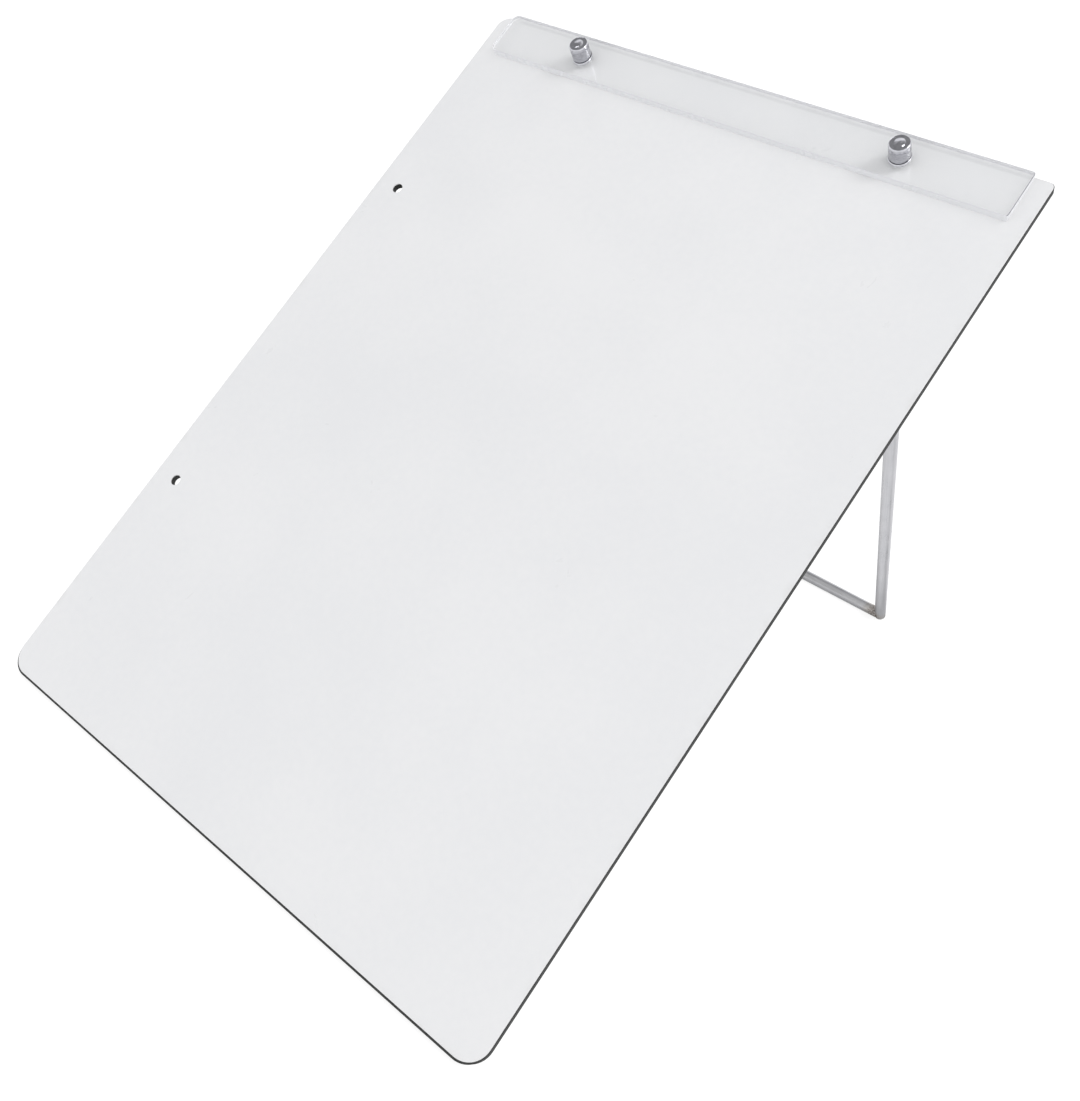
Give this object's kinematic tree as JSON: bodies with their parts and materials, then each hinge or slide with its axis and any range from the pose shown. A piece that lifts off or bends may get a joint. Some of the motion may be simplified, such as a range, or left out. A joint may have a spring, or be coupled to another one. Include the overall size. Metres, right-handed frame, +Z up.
{
  "type": "portable drawing board",
  "caption": "Thin white portable drawing board with a clear clamp bar held by thumb knobs along its top edge and a folding wire stand hinged on its back.",
  "frame": {"origin": "centre of the footprint: X and Y at the middle of the bounding box, Z on the table", "axes": "+X to the user's right across the board, +Y away from the user, +Z up; the board leans back 37 degrees from the table, its lower edge at -Y"},
  "size_m": [0.25, 0.2994, 0.2172],
  "materials": {
    "dark_core": "dense dark hard fibreboard, sawn edges, smooth matt back",
    "white_laminate": "satin white melamine laminate with a very fine grain",
    "clear_acrylic": "clear cast acrylic, polished faces, cut edges",
    "chrome": "bright chrome plate",
    "plated_steel": "plated steel, dull",
    "zinc_rod": "bright zinc plated drawn rod, brown tint at the welds"
  },
  "bodies": {
    "board": {"core_panel": "dark_core", "face_sheet": "white_laminate", "clamp_stud_left": "plated_steel", "clamp_stud_right": "plated_steel", "hinge_plate_left": "plated_steel", "hinge_plate_right": "plated_steel", "hinge_strap_left": "plated_steel", "hinge_strap_right": "plated_steel", "strap_rivet_left_lower": "plated_steel", "strap_rivet_left_upper": "plated_steel", "strap_rivet_right_lower": "plated_steel", "strap_rivet_right_upper": "plated_steel"},
    "stand": {"stand_pivot_bar": "zinc_rod", "stand_foot_bar": "zinc_rod", "stand_leg_left": "zinc_rod", "stand_leg_right": "zinc_rod", "stop_tab_left": "zinc_rod", "stop_tab_right": "zinc_rod"},
    "clip": {"clip_bar": "clear_acrylic", "clip_washer_left": "chrome", "clip_washer_right": "chrome"},
    "knob_left": {"clamp_knob_left": "chrome"},
    "knob_right": {"clamp_knob_right": "chrome"}
  },
  "joints": [
    {"name": "stand_fold", "type": "hinge", "parent": "board", "child": "stand", "pos_m": [0, 0.05574, 0.14843], "axis": [1, 0, 0], "range_deg": [-85, 0]},
    {"name": "clip_lift", "type": "slide", "parent": "board", "child": "clip", "axis": [0, -0.6018, 0.7986], "range_m": [0, 0.0042]},
    {"name": "knob_left_turn", "type": "hinge", "parent": "clip", "child": "knob_left", "pos_m": [-0.0719, 0.11848, 0.20949], "axis": [0, -0.6018, 0.7986], "range_deg": [0, 2160]},
    {"name": "knob_right_turn", "type": "hinge", "parent": "clip", "child": "knob_right", "pos_m": [0.0726, 0.11848, 0.20949], "axis": [0, -0.6018, 0.7986], "range_deg": [0, 2160]}
  ],
  "couplings": [
    {"joint": "knob_left_turn", "follows": "clip_lift", "rad_per_m": 8976},
    {"joint": "knob_right_turn", "follows": "clip_lift", "rad_per_m": 8976}
  ]
}
